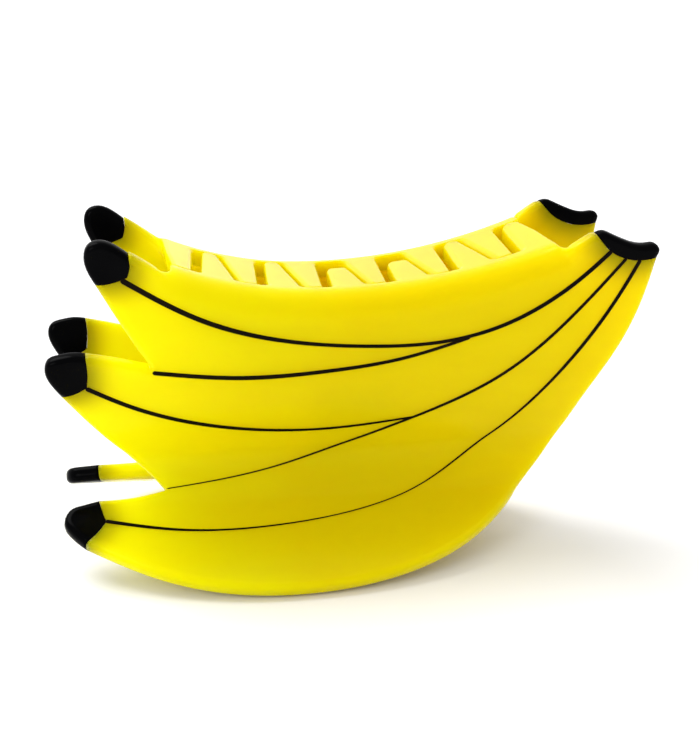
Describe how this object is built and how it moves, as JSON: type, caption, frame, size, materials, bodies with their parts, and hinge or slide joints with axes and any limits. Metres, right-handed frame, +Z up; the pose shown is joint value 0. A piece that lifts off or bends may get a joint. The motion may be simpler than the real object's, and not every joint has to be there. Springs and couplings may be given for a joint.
{
  "type": "hair claw clip",
  "caption": "Hair claw of two mirrored banana-bunch jaws in bent acetate sheet, with interlocking teeth, flared thumb handles and a sprung hinge pin.",
  "frame": {"origin": "bottom centre of the bounding box, on the surface the closed claw stands on, midway between the jaws", "axes": "+X along the hinge pin towards the stems, +Y from the front jaw to the rear jaw, +Z up towards the teeth"},
  "size_m": [0.1, 0.0508, 0.0576],
  "materials": {
    "acetate_yellow": "polished cellulose acetate, slightly translucent",
    "acetate_black": "polished black cellulose acetate",
    "line_black": "filled engraved line, polished flush",
    "hinge_steel": "stamped stainless strip",
    "pin_steel": "drawn steel wire, headed both ends",
    "spring_steel": "bright spring wire"
  },
  "bodies": {
    "rear_jaw_body": {"hinge_pin": "pin_steel", "rear_hinge_bracket": "hinge_steel", "rear_jaw": "acetate_yellow", "rear_line_a": "line_black", "rear_line_b": "line_black", "rear_line_c": "line_black", "rear_line_d": "line_black", "rear_line_e": "line_black", "rear_stem_cap": "acetate_black", "rear_tip_lower": "acetate_black", "rear_tip_middle": "acetate_black", "rear_tip_top": "acetate_black", "torsion_spring": "spring_steel"},
    "front_jaw_body": {"front_hinge_bracket": "hinge_steel", "front_jaw": "acetate_yellow", "front_line_a": "line_black", "front_line_b": "line_black", "front_line_c": "line_black", "front_line_d": "line_black", "front_line_e": "line_black", "front_stem_cap": "acetate_black", "front_tip_lower": "acetate_black", "front_tip_middle": "acetate_black", "front_tip_top": "acetate_black"}
  },
  "joints": [
    {"name": "jaw_opening", "type": "hinge", "parent": "rear_jaw_body", "child": "front_jaw_body", "pos_m": [0, 0, 0.01564], "axis": [1, 0, 0], "range_deg": [0, 60], "stiffness_Nm_per_rad": 0.1, "springref_deg": -45.84, "deforming": ["torsion_spring"]}
  ]
}
